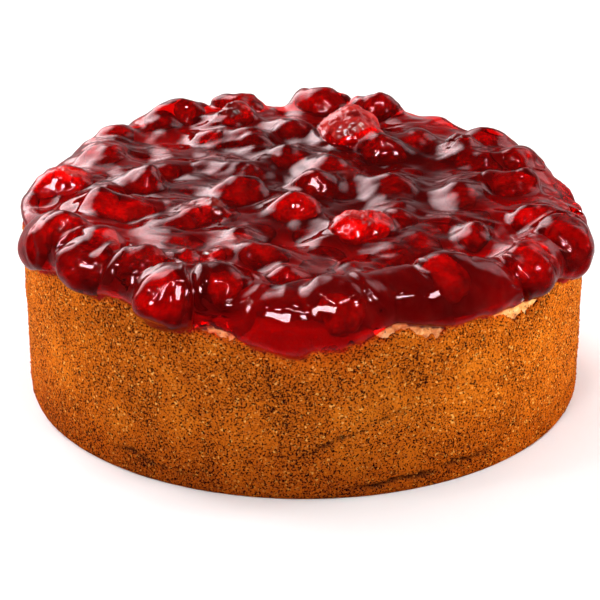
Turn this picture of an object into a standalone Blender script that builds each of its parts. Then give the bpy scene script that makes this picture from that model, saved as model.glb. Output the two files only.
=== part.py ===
# A baked cheesecake in a crumb crust, under a thick strawberry jelly with whole and broken berries.
# The origin is the middle of the base, +Z is up and -Y is the front. Lengths are in metres.

import math

import bmesh
import bpy
from mathutils import Matrix, Vector, noise

# Cake
CAKE_RADIUS = 0.100
CAKE_HEIGHT = 0.0605
BASE_RADIUS = 0.0992
CRUST_THICKNESS = 0.0055
CRUST_FLOOR = 0.0075
GAP = 0.0003
ANGLE_STEPS = 84
SURFACE_RINGS = (0.018, 0.038, 0.056, 0.072, 0.084, 0.0925)
BED_RINGS = (0.045, 0.075)
RIM_CREST = 0.0022
RIM_ROUND = 0.0014

# The crust stands higher round one place on its edge, as it was pressed up the tin by hand
HIGH_RIM_ANGLE = -138.0
HIGH_RIM_SPREAD = 38.0
HIGH_RIM_RISE = 0.0058
RIM_WAVE = 0.0004

# Crumb relief, and the worn ledge near the foot on the right of the front
CRUMB_RELIEF = 0.0005
LEDGE_HEIGHT = 0.0052
LEDGE_DEPTH = 0.0008
LEDGE_ANGLE = -60.0
LEDGE_SPREAD = 50.0
FOOT_HEIGHT = 0.0014
FOOT_ROUND = 0.0008
SIDE_HEIGHTS = (0.046, 0.031, 0.017, 0.0090, LEDGE_HEIGHT, FOOT_HEIGHT)

# Places where the crust has broken down and pale filling shows: angle, half width in degrees, depth
BROKEN_EDGES = (
    (-106.0, 7.0, 0.0060),
    (-77.0, 4.5, 0.0045),
    (-65.0, 5.0, 0.0045),
    (-48.5, 8.0, 0.0062),
    (-29.0, 4.5, 0.0030),
    (22.0, 6.0, 0.0050),
    (61.0, 7.0, 0.0058),
    (101.0, 5.0, 0.0042),
    (139.0, 7.0, 0.0055),
)
FULL_SWELL = 0.0030
PATCH_INSET = 0.0003
SHOULDER_DROP = 0.0006
SHOULDER_ROUND = 0.0012
HOLLOW_RISE = 0.010
TRIM_GAP = 0.0004
TRIM_FLOOR = 0.020

# Jelly
JELLY_DEPTH = 0.0100
JELLY_WAVE = 0.0010
JELLY_REACH = 0.0016
JELLY_DROP = 0.0006

# Lobes of jelly over the edge: angle, half width in degrees, reach past the crust, drop below its edge
JELLY_LOBES = (
    (-162.0, 7.0, 0.0045, 0.0068),
    (-140.0, 5.0, 0.0045, 0.0034),
    (-117.0, 4.5, 0.0058, 0.0062),
    (-96.0, 7.5, 0.0058, 0.0080),
    (-84.0, 4.0, 0.0038, 0.0030),
    (-59.0, 8.0, 0.0020, 0.0010),
    (-41.0, 7.0, 0.0034, 0.0006),
    (-22.0, 7.0, 0.0046, 0.0026),
    (-6.0, 5.0, 0.0030, 0.0030),
    (14.0, 7.0, 0.0030, 0.0042),
    (36.0, 6.0, 0.0036, 0.0020),
    (64.0, 7.0, 0.0030, 0.0050),
    (86.0, 6.0, 0.0034, 0.0024),
    (108.0, 7.0, 0.0040, 0.0060),
    (128.0, 5.0, 0.0026, 0.0020),
    (152.0, 7.0, 0.0038, 0.0048),
    (178.0, 5.0, 0.0036, 0.0030),
)

# Humps where jelly lies over berries that it hides: x, y, radius, height
JELLY_HUMPS = (
    (-0.039, -0.049, 0.0085, 0.0032),
    (-0.061, 0.054, 0.0085, 0.0034),
    (-0.094, -0.012, 0.0060, 0.0026),
    (0.046, 0.083, 0.0085, 0.0026),
    (0.031, -0.085, 0.0070, 0.0034),
    (0.068, -0.014, 0.0070, 0.0014),
    (0.043, -0.031, 0.0060, 0.0012),
    (0.000, -0.079, 0.0100, 0.0012),
)

# Berries: x, y, length, width, height, heading of the tip in degrees, lift above the cake, tip
# A tip near 0 is a blunt lump, and near 1 a pointed berry. A berry with negative lift hangs over the edge.
BERRY_LIFT = 0.0016
BERRIES = {
    "hero": (0.017, 0.053, 0.0215, 0.0200, 0.0195, -75.0, 0.0030, 0.25),
    "broken": (0.020, -0.036, 0.0200, 0.0155, 0.0160, 25.0, 0.0016, 0.30),
    "back_left_point": (-0.088, 0.005, 0.0165, 0.0140, 0.0150, 195.0, 0.0016, 0.55),
    "left_lobe": (-0.089, -0.042, 0.0170, 0.0150, 0.0150, 232.0, -0.0030, 0.30),
    "left_long": (-0.076, -0.0535, 0.0160, 0.0110, 0.0120, 188.0, 0.0030, 0.75),
    "left_front_lobe": (-0.070, -0.073, 0.0180, 0.0155, 0.0155, 228.0, -0.0022, 0.30),
    "left_small": (-0.0615, -0.0590, 0.0100, 0.0080, 0.0110, 60.0, 0.0030, 0.20),
    "left_pair_outer": (-0.0740, -0.0230, 0.0125, 0.0110, 0.0120, 150.0, 0.0020, 0.30),
    "left_pair_inner": (-0.0600, -0.0270, 0.0135, 0.0110, 0.0130, 20.0, 0.0020, 0.20),
    "left_seeded": (-0.0510, -0.0745, 0.0175, 0.0125, 0.0135, 165.0, 0.0016, 0.60),
    "left_dome": (-0.0580, 0.0050, 0.0150, 0.0135, 0.0140, 140.0, 0.0016, 0.30),
    "front_left_lobe": (-0.0450, -0.0940, 0.0165, 0.0160, 0.0165, 245.0, -0.0036, 0.25),
    "front_fold": (-0.0270, -0.0880, 0.0150, 0.0140, 0.0145, 200.0, 0.0004, 0.35),
    "front_mid_left": (-0.0220, -0.0480, 0.0135, 0.0120, 0.0135, 35.0, 0.0016, 0.40),
    "centre_smooth": (-0.0220, -0.0040, 0.0195, 0.0125, 0.0145, 8.0, 0.0016, 0.45),
    "centre_seeded": (-0.0320, -0.0260, 0.0210, 0.0135, 0.0145, 14.0, 0.0016, 0.70),
    "centre_point": (-0.0200, 0.0180, 0.0130, 0.0115, 0.0130, 60.0, 0.0016, 0.60),
    "mid_back_crumpled": (-0.0350, 0.0550, 0.0125, 0.0105, 0.0130, 10.0, 0.0016, 0.50),
    "back_seeded_small": (-0.0280, 0.0740, 0.0130, 0.0125, 0.0150, 260.0, 0.0016, 0.40),
    "back_mid": (-0.0040, 0.0630, 0.0155, 0.0130, 0.0145, 30.0, 0.0016, 0.40),
    "back_dome": (-0.0240, 0.0895, 0.0190, 0.0135, 0.0150, 178.0, 0.0016, 0.30),
    "back_left_outer": (-0.0580, 0.0770, 0.0130, 0.0115, 0.0130, 130.0, 0.0012, 0.45),
    "back_left_inner": (-0.0440, 0.0830, 0.0130, 0.0120, 0.0140, 30.0, 0.0016, 0.35),
    "left_back_low": (-0.0720, 0.0620, 0.0140, 0.0110, 0.0125, 55.0, 0.0010, 0.40),
    "left_back_hump": (-0.0760, 0.0360, 0.0165, 0.0140, 0.0135, 110.0, 0.0016, 0.25),
    "front_mid": (-0.0120, -0.0620, 0.0155, 0.0135, 0.0140, 190.0, 0.0016, 0.35),
    "front_sliver": (-0.0350, -0.0645, 0.0150, 0.0085, 0.0120, 5.0, 0.0016, 0.80),
    "centre_cut": (-0.0050, -0.0200, 0.0140, 0.0125, 0.0145, 350.0, 0.0016, 0.30),
    "mid_ridge": (-0.0060, 0.0330, 0.0125, 0.0110, 0.0130, 15.0, 0.0016, 0.40),
    "back_dark_seeded": (0.0270, 0.0855, 0.0175, 0.0135, 0.0150, 20.0, 0.0016, 0.30),
    "back_red": (0.0060, 0.0950, 0.0160, 0.0130, 0.0150, 160.0, 0.0010, 0.30),
    "mid_glossy": (0.0300, 0.0370, 0.0170, 0.0120, 0.0140, 350.0, 0.0016, 0.50),
    "mid_brown": (0.0110, 0.0230, 0.0175, 0.0120, 0.0125, 340.0, 0.0016, 0.30),
    "centre_highlight": (0.0030, 0.0020, 0.0155, 0.0130, 0.0145, 175.0, 0.0016, 0.45),
    "centre_right_small": (0.0330, 0.0040, 0.0125, 0.0110, 0.0130, 330.0, 0.0016, 0.35),
    "right_small": (0.0570, -0.0040, 0.0110, 0.0105, 0.0130, 80.0, 0.0016, 0.50),
    "right_back_seeded": (0.0590, 0.0430, 0.0165, 0.0120, 0.0135, 345.0, 0.0016, 0.65),
    "right_back_piece": (0.0420, 0.0510, 0.0135, 0.0110, 0.0125, 200.0, 0.0016, 0.40),
    "back_right_edge": (0.0690, 0.0570, 0.0140, 0.0115, 0.0135, 320.0, 0.0010, 0.35),
    "right_back_hump": (0.0820, 0.0340, 0.0175, 0.0140, 0.0145, 110.0, 0.0010, 0.25),
    "right_dome": (0.0760, 0.0070, 0.0180, 0.0150, 0.0125, 30.0, 0.0016, 0.20),
    "right_edge": (0.0930, -0.0060, 0.0140, 0.0130, 0.0150, 300.0, -0.0018, 0.30),
    "right_glossy": (0.0810, -0.0260, 0.0140, 0.0120, 0.0140, 10.0, 0.0016, 0.40),
    "right_lobe": (0.0920, -0.0435, 0.0165, 0.0145, 0.0155, 335.0, -0.0028, 0.30),
    "right_orange": (0.0760, -0.0510, 0.0140, 0.0110, 0.0125, 170.0, 0.0016, 0.30),
    "right_front_lobe": (0.0740, -0.0680, 0.0165, 0.0145, 0.0155, 318.0, -0.0026, 0.35),
    "right_wrinkled": (0.0580, -0.0400, 0.0110, 0.0105, 0.0135, 260.0, 0.0016, 0.30),
    "front_right_wrinkled": (0.0460, -0.0815, 0.0150, 0.0140, 0.0145, 300.0, 0.0006, 0.30),
    "front_round": (0.0110, -0.0960, 0.0190, 0.0170, 0.0170, 275.0, -0.0030, 0.20),
}
BERRY_SEGMENTS = 8
BERRY_RINGS = 6
LARGE_BERRY = 0.0175
POCKET_GAP = 0.0006
POCKET_DETAIL = 0.66
BERRY_LUMP = 0.07
BERRY_PITCH = 0.12


def clear_scene():
    for old in list(bpy.data.objects):
        bpy.data.objects.remove(old, do_unlink=True)


def material(name, colour, roughness):
    made = bpy.data.materials.new(name)
    made.use_nodes = True
    shader = made.node_tree.nodes["Principled BSDF"]
    shader.inputs["Base Color"].default_value = (*colour, 1.0)
    shader.inputs["Roughness"].default_value = roughness
    shader.inputs["Metallic"].default_value = 0.0
    return made


def angle_between(angle, centre):
    return (angle - centre + 180.0) % 360.0 - 180.0


def bell(angle, centre, spread):
    return math.exp(-((angle_between(angle, centre) / spread) ** 2))


def rim_rise(angle):
    waves = math.sin(math.radians(3 * angle + 40)) + math.sin(math.radians(7 * angle))
    return HIGH_RIM_RISE * bell(angle, HIGH_RIM_ANGLE, HIGH_RIM_SPREAD) + RIM_WAVE * waves


def cake_top(radius, angle):
    """Height of the filling's top, which dishes up to the edge of the crust."""
    return CAKE_HEIGHT + rim_rise(angle) * (radius / CAKE_RADIUS) ** 2


def broken_depth(angle):
    return sum(depth * bell(angle, centre, width) for centre, width, depth in BROKEN_EDGES)


def relief(angle, height):
    """A small inward bite for crumbs, never outward."""
    around = math.radians(angle)
    place = Vector((math.cos(around), math.sin(around), height * 11.0)) * 9.0
    return CRUMB_RELIEF * (0.5 + 0.5 * noise.noise(place))


def ring_solid(name, profile):
    """A closed solid turned round Z, whose section changes with the angle. Its first and last points are on Z."""
    sections = [profile(360.0 * i / ANGLE_STEPS - 180.0) for i in range(ANGLE_STEPS)]
    made = bmesh.new()
    top = made.verts.new((0.0, 0.0, sections[0][0][1]))
    bottom = made.verts.new((0.0, 0.0, sections[0][-1][1]))
    columns = []
    for i, section in enumerate(sections):
        around = math.radians(360.0 * i / ANGLE_STEPS - 180.0)
        columns.append([
            made.verts.new((r * math.cos(around), r * math.sin(around), z)) for r, z in section[1:-1]
        ])
    for i, here in enumerate(columns):
        after = columns[(i + 1) % ANGLE_STEPS]
        made.faces.new((top, here[0], after[0]))
        for j in range(len(here) - 1):
            made.faces.new((here[j], here[j + 1], after[j + 1], after[j]))
        made.faces.new((here[-1], bottom, after[-1]))
    bmesh.ops.triangulate(made, faces=made.faces[:])
    mesh = bpy.data.meshes.new(name)
    made.to_mesh(mesh)
    made.free()
    built = bpy.data.objects.new(name, mesh)
    bpy.context.scene.collection.objects.link(built)
    return built


def crust_profile(angle):
    """The whole cake's outline: over the top, down the side and under. The filling is cut out of it."""
    edge = cake_top(CAKE_RADIUS, angle)
    side = [(CAKE_RADIUS - RIM_CREST, edge), (CAKE_RADIUS - RIM_ROUND / 2, edge - RIM_ROUND)]
    for height in SIDE_HEIGHTS:
        taper = (CAKE_RADIUS - BASE_RADIUS) * (1.0 - height / CAKE_HEIGHT)
        inward = taper + relief(angle, height)
        if height == LEDGE_HEIGHT:
            inward += LEDGE_DEPTH * bell(angle, LEDGE_ANGLE, LEDGE_SPREAD)
        if height == FOOT_HEIGHT:
            inward += FOOT_ROUND
        side.append((CAKE_RADIUS - inward, height))
    return [(0.0, CAKE_HEIGHT), (0.080, edge), *side, (BASE_RADIUS - 0.0026, 0.0), (0.0, 0.0)]


def filling_profile(angle, grow=0.0, above=0.0):
    """A plug in the crust, which swells out through it where its edge has broken down.

    Grown and raised a little, the same profile cuts the hollow for the plug in the crust.
    """
    broken = broken_depth(angle)
    rim = cake_top(CAKE_RADIUS, angle)
    inner = CAKE_RADIUS - CRUST_THICKNESS - GAP
    swell = (CRUST_THICKNESS - PATCH_INSET) * min(1.0, broken / FULL_SWELL)
    bed = [(r, cake_top(r, angle) + above) for r in BED_RINGS]
    shoulder = rim - SHOULDER_DROP
    return [
        (0.0, CAKE_HEIGHT + above),
        *bed,
        (inner - 0.0020 + 0.8 * swell + grow, shoulder + above),
        (inner + swell + grow, shoulder - SHOULDER_ROUND + above),
        (inner + 0.96 * swell + grow, rim - 0.0020 - 0.85 * broken - grow),
        (inner + grow, rim - 0.0036 - broken - grow),
        (inner + grow, CRUST_FLOOR + GAP - grow),
        (0.0, CRUST_FLOOR + GAP - grow),
    ]


def jelly_edge(angle):
    """How far the jelly reaches past the crust and drops below its edge."""
    reach, drop = JELLY_REACH, JELLY_DROP
    for centre, width, out, down in JELLY_LOBES:
        reach += out * bell(angle, centre, width)
        drop += down * bell(angle, centre, width)
    return reach, drop


def jelly_top(radius, angle):
    """Height of the jelly's surface, thinning towards the edge."""
    x = radius * math.cos(math.radians(angle))
    y = radius * math.sin(math.radians(angle))
    share = radius / CAKE_RADIUS
    waves = math.sin(95.0 * x + 40.0 * y) * math.sin(110.0 * y - 30.0 * x + 0.7)
    thick = JELLY_DEPTH * (1.0 - 0.22 * share**4) + JELLY_WAVE * waves * min(1.0, 4.0 * share)
    for hump_x, hump_y, hump_r, hump_h in JELLY_HUMPS:
        apart = ((x - hump_x) ** 2 + (y - hump_y) ** 2) / hump_r**2
        thick += hump_h * math.exp(-apart)
    return cake_top(radius, angle) + thick


def jelly_profile(angle):
    """A cap over the cake: from the middle, out and over the edge, round the lobe's lip and back underneath."""
    reach, drop = jelly_edge(angle)
    edge = cake_top(CAKE_RADIUS, angle)
    outer = CAKE_RADIUS + reach
    wall = CAKE_RADIUS + GAP
    surface = [(r, jelly_top(r, angle)) for r in SURFACE_RINGS]
    shoulder = surface[-1][1] - edge
    under = [(r, cake_top(r, angle) + GAP) for r in reversed(BED_RINGS)]
    return [
        (0.0, jelly_top(0.0, 0.0)),
        *surface,
        (CAKE_RADIUS + 0.45 * reach, edge + 0.74 * shoulder),
        (outer, edge + 0.30 * shoulder - 0.25 * drop),
        (outer - 0.06 * reach, edge - 0.70 * drop),
        (wall + 0.30 * reach, edge - drop),
        (wall, edge - 0.92 * drop),
        (wall, edge + GAP),
        (CAKE_RADIUS - CRUST_THICKNESS, edge + GAP),
        *under,
        (0.0, CAKE_HEIGHT + GAP),
    ]


def berry_shape(name, length, width, height, tip, seed):
    """A soft strawberry along X, wide at its shoulder and narrower to its tip, a little lumpy and squashed."""
    made = bmesh.new()
    extra = 2 if length > LARGE_BERRY else 0
    bmesh.ops.create_uvsphere(
        made, u_segments=BERRY_SEGMENTS + extra, v_segments=BERRY_RINGS, radius=1.0,
        matrix=Matrix.Rotation(math.radians(90.0), 4, "Y"),
    )
    for vert in made.verts:
        along = vert.co.x
        narrow = 1.0 - 0.45 * tip * (0.5 + 0.5 * along) ** 1.4 + 0.10 * tip * (1.0 - along**2)
        lump = 1.0 + BERRY_LUMP * noise.noise(vert.co * 1.4 + Vector((seed, 2.0 * seed, 0.0)))
        vert.co.x = along * length / 2 * lump
        vert.co.y *= width / 2 * narrow * lump
        vert.co.z *= height / 2 * (0.5 + 0.5 * narrow) * lump
    mesh = bpy.data.meshes.new(name)
    made.to_mesh(mesh)
    made.free()
    mesh.shade_smooth()
    return mesh


def grown(mesh, by):
    """A copy of a berry's mesh, pushed out along its normals."""
    bigger = mesh.copy()
    normals = [vert.normal.copy() for vert in bigger.vertices]
    for vert, normal in zip(bigger.vertices, normals):
        vert.co += normal * by
    return bigger


def hide_as_cutter(cutter, collection):
    cutter.hide_render = True
    cutter.display_type = "WIRE"
    for owner in list(cutter.users_collection):
        owner.objects.unlink(cutter)
    collection.objects.link(cutter)


def cake_envelope_profile(angle):
    """The crust and filling with a gap round them, which trims the berries that hang over the edge."""
    wall = CAKE_RADIUS + TRIM_GAP
    edge = cake_top(CAKE_RADIUS, angle) + TRIM_GAP
    return [
        (0.0, CAKE_HEIGHT + TRIM_GAP),
        *[(r, cake_top(r, angle) + TRIM_GAP) for r in BED_RINGS],
        (CAKE_RADIUS - CRUST_THICKNESS, edge),
        (wall, edge),
        (wall, TRIM_FLOOR),
        (0.0, TRIM_FLOOR),
    ]


def largest_piece(mesh):
    """Keeps a mesh's largest connected piece, so that no loose scrap of jelly is left."""
    made = bmesh.new()
    made.from_mesh(mesh)
    left = set(made.verts)
    islands = []
    while left:
        island, edge_of = set(), [next(iter(left))]
        while edge_of:
            vert = edge_of.pop()
            if vert in island:
                continue
            island.add(vert)
            edge_of.extend(edge.other_vert(vert) for edge in vert.link_edges)
        left -= island
        islands.append(island)
    islands.sort(key=len)
    scraps = [vert for island in islands[:-1] for vert in island]
    bmesh.ops.delete(made, geom=scraps, context="VERTS")
    made.to_mesh(mesh)
    made.free()


def apply_modifiers(target):
    graph = bpy.context.evaluated_depsgraph_get()
    mesh = bpy.data.meshes.new_from_object(target.evaluated_get(graph))
    target.modifiers.clear()
    target.data = mesh


def build_berries(envelope, cutters, skin):
    """One object for each berry, with a grown copy that cuts its pocket in the jelly."""
    for number, (label, facts) in enumerate(BERRIES.items(), start=1):
        x, y, length, width, height, heading, lift, tip = facts
        name = f"strawberry_{label}"
        mesh = berry_shape(name, length, width, height, tip, seed=3.7 * number)
        mesh.materials.append(skin)
        around = math.degrees(math.atan2(y, x))
        centre = (x, y, cake_top(math.hypot(x, y), around) + lift + height / 2)
        turn = (0.0, -BERRY_PITCH * math.sin(2.3 * number), math.radians(heading))
        pocket = bpy.data.objects.new(f"pocket_{label}", grown(mesh, POCKET_GAP))
        berry = bpy.data.objects.new(name, mesh)
        for placed in (berry, pocket):
            placed.location = centre
            placed.rotation_euler = turn
        bpy.context.scene.collection.objects.link(berry)
        hide_as_cutter(pocket, cutters)
        if lift < BERRY_LIFT:
            trim = berry.modifiers.new("trim", "BOOLEAN")
            trim.operation = "DIFFERENCE"
            trim.object = envelope
            trim.solver = "EXACT"


def build_cake(trimmers, crumb, cheese):
    crust = ring_solid("crumb_crust", crust_profile)
    crust.data.materials.append(crumb)
    filling = ring_solid("cheese_filling", filling_profile)
    filling.data.materials.append(cheese)
    hollow = ring_solid("filling_hollow", lambda angle: filling_profile(angle, grow=GAP, above=HOLLOW_RISE))
    hide_as_cutter(hollow, trimmers)
    cut = crust.modifiers.new("hollow", "BOOLEAN")
    cut.operation = "DIFFERENCE"
    cut.object = hollow
    cut.solver = "EXACT"


def build_jelly(cutters, gloss):
    jelly = ring_solid("strawberry_jelly", jelly_profile)
    jelly.data.materials.append(gloss)
    cut = jelly.modifiers.new("pockets", "BOOLEAN")
    cut.operation = "DIFFERENCE"
    cut.operand_type = "COLLECTION"
    cut.collection = cutters
    cut.solver = "EXACT"
    thin = jelly.modifiers.new("fewer faces", "DECIMATE")
    thin.ratio = POCKET_DETAIL
    apply_modifiers(jelly)
    largest_piece(jelly.data)


def main():
    clear_scene()
    crumb = material("crumb_crust", (0.36, 0.15, 0.035), 0.85)
    cheese = material("cheese_filling", (0.83, 0.57, 0.27), 0.60)
    gloss = material("strawberry_jelly", (0.22, 0.004, 0.008), 0.08)
    skin = material("strawberry_skin", (0.50, 0.012, 0.010), 0.25)

    cutters = bpy.data.collections.new("cutters")
    trimmers = bpy.data.collections.new("trimmers")
    bpy.context.scene.collection.children.link(cutters)
    bpy.context.scene.collection.children.link(trimmers)
    build_cake(trimmers, crumb, cheese)
    envelope = ring_solid("cake_envelope", cake_envelope_profile)
    hide_as_cutter(envelope, trimmers)
    build_berries(envelope, cutters, skin)
    build_jelly(cutters, gloss)


main()
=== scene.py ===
# Looks for a baked cheesecake under strawberry jelly. Lengths are in metres, +Z is up and -Y is the front.
import math
import random

import bmesh
import bpy
import numpy as np
from mathutils import Euler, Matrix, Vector, noise
from mathutils.bvhtree import BVHTree


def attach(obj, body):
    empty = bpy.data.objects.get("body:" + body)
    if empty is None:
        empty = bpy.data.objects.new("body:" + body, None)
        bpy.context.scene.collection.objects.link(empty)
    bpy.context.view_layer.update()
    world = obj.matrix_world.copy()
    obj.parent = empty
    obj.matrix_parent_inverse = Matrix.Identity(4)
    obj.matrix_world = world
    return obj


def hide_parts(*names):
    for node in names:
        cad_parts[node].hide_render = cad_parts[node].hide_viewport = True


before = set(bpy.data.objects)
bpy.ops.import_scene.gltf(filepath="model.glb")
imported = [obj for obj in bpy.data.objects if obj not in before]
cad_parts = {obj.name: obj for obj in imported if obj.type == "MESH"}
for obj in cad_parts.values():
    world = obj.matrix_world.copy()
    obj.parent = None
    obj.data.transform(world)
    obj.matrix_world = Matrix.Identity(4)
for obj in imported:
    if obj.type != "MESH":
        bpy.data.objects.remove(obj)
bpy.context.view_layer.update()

# sizes that more than one piece needs
cake = {
    "radius": 0.100,
    "baseRadius": 0.0992,
    "height": 0.0605,
    "crust": 0.0055,
    # the edge stands higher on one side and lower on another: angle, spread in degrees, height
    "highRim": (-138.0, 38.0, 0.0058),
    "dip": (12.0, 14.0, 0.0016),
    "rimWave": 0.0004,
    # short rises of the edge, and the power by which they fall off inwards
    "bumps": [(-107.0, 8.0, 0.0022), (-73.0, 6.0, 0.0030)],
    "bumpFall": 8,
    # centre of the painted shade on the soaked top and the covered berries, where the jelly looks darkest from
    # above, and how far that painted shade spreads
    "stainCentre": (0.006, 0.022, 0.0),
    "stainReach": 0.14,
    # places where the crust has broken down: angle, half width in degrees, depth
    "broken": [
        (-106.0, 7.0, 0.0084), (-75.0, 4.5, 0.0056), (-65.0, 5.0, 0.0062), (-43.0, 8.0, 0.0080),
        (-29.0, 4.5, 0.0030), (22.0, 6.0, 0.0050), (61.0, 7.0, 0.0058), (101.0, 5.0, 0.0042),
        (139.0, 7.0, 0.0055),
    ],
    "heals": (0.0022, 0.0014),      # a break shallower than this closes, over the next depth
    # how far the jelly reaches past the crust and drops below its edge between the lobes
    "reach": 0.0005,
    "drop": 0.0003,
    # lobes over the edge: angle, half width in degrees, reach, drop
    "lobes": [
        (-162.0, 8.0, 0.0006, 0.0052), (-140.0, 6.0, 0.0020, 0.0016), (-117.0, 5.5, 0.0030, 0.0010),
        (-92.5, 7.5, 0.0052, 0.0070), (-81.0, 5.0, 0.0030, 0.0026), (-59.0, 8.0, 0.0024, 0.0004),
        (-41.0, 7.0, 0.0016, 0.0), (-20.0, 7.0, 0.0022, 0.0030), (-6.0, 5.0, 0.0, 0.0),
        (14.0, 9.0, -0.0012, 0.0010), (36.0, 6.0, 0.0014, 0.0020), (64.0, 7.0, 0.0030, 0.0050),
        (86.0, 6.0, 0.0034, 0.0024), (108.0, 7.0, 0.0038, 0.0060), (128.0, 5.0, 0.0026, 0.0020),
        (152.0, 7.0, 0.0010, 0.0044), (178.0, 6.0, 0.0006, 0.0050),
    ],
}


def deselectAll():
    if bpy.context.object and bpy.context.object.mode != "OBJECT":
        bpy.ops.object.mode_set(mode="OBJECT")
    bpy.ops.object.select_all(action="DESELECT")


def activate(piece):
    deselectAll()
    piece.select_set(True)
    bpy.context.view_layer.objects.active = piece


def applyAll(piece):
    activate(piece)
    for step in list(piece.modifiers):
        bpy.ops.object.modifier_apply(modifier=step.name)


def bakePlace(piece):
    activate(piece)
    bpy.ops.object.transform_apply(location=True, rotation=True, scale=True)


def copyNode(nodeName, pieceName):
    # a CAD node comes as loose triangles, so its copy is merged before anything else
    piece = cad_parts[nodeName].copy()
    piece.data = piece.data.copy()
    piece.name = pieceName
    piece.data.name = pieceName
    piece.parent = None
    piece.hide_render = False
    piece.hide_viewport = False
    for key in list(piece.keys()):
        del piece[key]
    bpy.context.scene.collection.objects.link(piece)
    activate(piece)
    bpy.ops.object.mode_set(mode="EDIT")
    bpy.ops.mesh.select_all(action="SELECT")
    bpy.ops.mesh.remove_doubles(threshold=0.00001)
    bpy.ops.object.mode_set(mode="OBJECT")
    return piece


def joinAll(pieces, name):
    deselectAll()
    for piece in pieces:
        piece.select_set(True)
    bpy.context.view_layer.objects.active = pieces[0]
    bpy.ops.object.join()
    pieces[0].name = name
    pieces[0].data.name = name
    return pieces[0]


def verts(piece):
    spots = np.empty(len(piece.data.vertices) * 3)
    piece.data.vertices.foreach_get("co", spots)
    return spots.reshape(-1, 3)


def setVerts(piece, spots):
    piece.data.vertices.foreach_set("co", np.ascontiguousarray(spots).ravel())
    piece.data.update()


def shadeSmooth(piece):
    activate(piece)
    bpy.ops.object.shade_smooth()


def writeShare(piece, name, values):
    # a value from 0 to 1 at each point, for a material to read
    layer = piece.data.attributes.new(name, "FLOAT", "POINT")
    layer.data.foreach_set("value", values)


def treeOf(piece):
    corners = [Vector(spot) for spot in verts(piece)]
    return BVHTree.FromPolygons(corners, [tuple(face.vertices) for face in piece.data.polygons])


def polar(spots):
    # distance from the middle, and angle in degrees
    return np.hypot(spots[:, 0], spots[:, 1]), np.degrees(np.arctan2(spots[:, 1], spots[:, 0]))


def bell(angle, centre, spread):
    away = (angle - centre + 180.0) % 360.0 - 180.0
    return np.exp(-((away / spread) ** 2))


def riseOf(angle, centre, spread, height):
    return height * bell(angle, centre, spread)


def bumpAt(radius, angle):
    rise = sum(riseOf(angle, *bump) for bump in cake["bumps"])
    return rise * (radius / cake["radius"]) ** cake["bumpFall"]


def rimTop(radius, angle):
    waves = np.sin(np.radians(3 * angle + 40)) + np.sin(np.radians(7 * angle))
    rise = riseOf(angle, *cake["highRim"]) - riseOf(angle, *cake["dip"]) + cake["rimWave"] * waves
    return cake["height"] + rise * (radius / cake["radius"]) ** 2 + bumpAt(radius, angle)


def brokenDepth(angle):
    # shallow places heal, so that each break stands alone
    found = sum(riseOf(angle, *place) for place in cake["broken"])
    least, over = cake["heals"]
    return found * np.clip((found - least) / over, 0.0, 1.0)


def lobeAt(angle):
    reach, drop = cake["reach"], cake["drop"]
    for centre, width, far, down in cake["lobes"]:
        reach = reach + far * bell(angle, centre, width)
        drop = drop + down * bell(angle, centre, width)
    return reach, drop


def noiseAt(spots, scale, shift=0.0):
    move = Vector((shift, -shift, 2.0 * shift))
    return np.array([noise.noise(Vector(spot) * scale + move) for spot in spots])


def newMaterial(name):
    made = bpy.data.materials.new(name)
    made.use_nodes = True
    nodes = made.node_tree.nodes
    nodes.clear()
    out = nodes.new("ShaderNodeOutputMaterial")
    shader = nodes.new("ShaderNodeBsdfPrincipled")
    made.node_tree.links.new(shader.outputs["BSDF"], out.inputs["Surface"])
    return made, shader


def addNode(made, kind, **settings):
    node = made.node_tree.nodes.new(kind)
    for key, value in settings.items():
        if hasattr(node, key):
            setattr(node, key, value)
        else:
            node.inputs[key].default_value = value
    return node


def link(made, source, target):
    made.node_tree.links.new(source, target)


def textureAt(made, where, kind, **settings):
    node = addNode(made, "ShaderNodeTex" + kind, **settings)
    link(made, where, node.inputs["Vector"])
    return node


def addBump(made, shader, height, strength):
    bump = addNode(made, "ShaderNodeBump", Strength=strength[0], Distance=strength[1])
    link(made, height, bump.inputs["Height"])
    link(made, bump.outputs["Normal"], shader.inputs["Normal"])


def ramp(made, source, stops):
    node = made.node_tree.nodes.new("ShaderNodeValToRGB")
    strip = node.color_ramp
    while len(strip.elements) < len(stops):
        strip.elements.new(0.5)
    for element, (place, colour) in zip(strip.elements, stops):
        element.position = place
        element.color = (*colour, 1.0) if isinstance(colour, tuple) else (colour, colour, colour, 1.0)
    link(made, source, node.inputs["Fac"])
    return node.outputs["Color"]


def shadeShare(made, where):
    # painted shade: 0 at the darkest place of the top, growing outwards at any height
    flat = addNode(made, "ShaderNodeMapping", vector_type="TEXTURE")
    flat.inputs["Location"].default_value = cake["stainCentre"]
    flat.inputs["Scale"].default_value = (cake["stainReach"], cake["stainReach"], 1000.0)
    link(made, where, flat.inputs["Vector"])
    away = addNode(made, "ShaderNodeVectorMath", operation="LENGTH")
    link(made, flat.outputs["Vector"], away.inputs[0])
    return away.outputs["Value"]


def mixColour(made, share, first, second, blend="MIX"):
    node = made.node_tree.nodes.new("ShaderNodeMix")
    node.data_type = "RGBA"
    node.blend_type = blend
    for socket, value in ((node.inputs[0], share), (node.inputs[6], first), (node.inputs[7], second)):
        if isinstance(value, bpy.types.NodeSocket):
            link(made, value, socket)
        else:
            socket.default_value = value if isinstance(value, float) else (*value, 1.0)
    return node.outputs[2]


view = {
    "place": (-0.0013, -0.8401, 0.4031),
    "aim": (-0.0013, 0.0, 0.0282),
    "lens": 152.4,
}


def aimAt(piece, target):
    piece.rotation_euler = (Vector(target) - piece.location).to_track_quat("-Z", "Y").to_euler()


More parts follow.
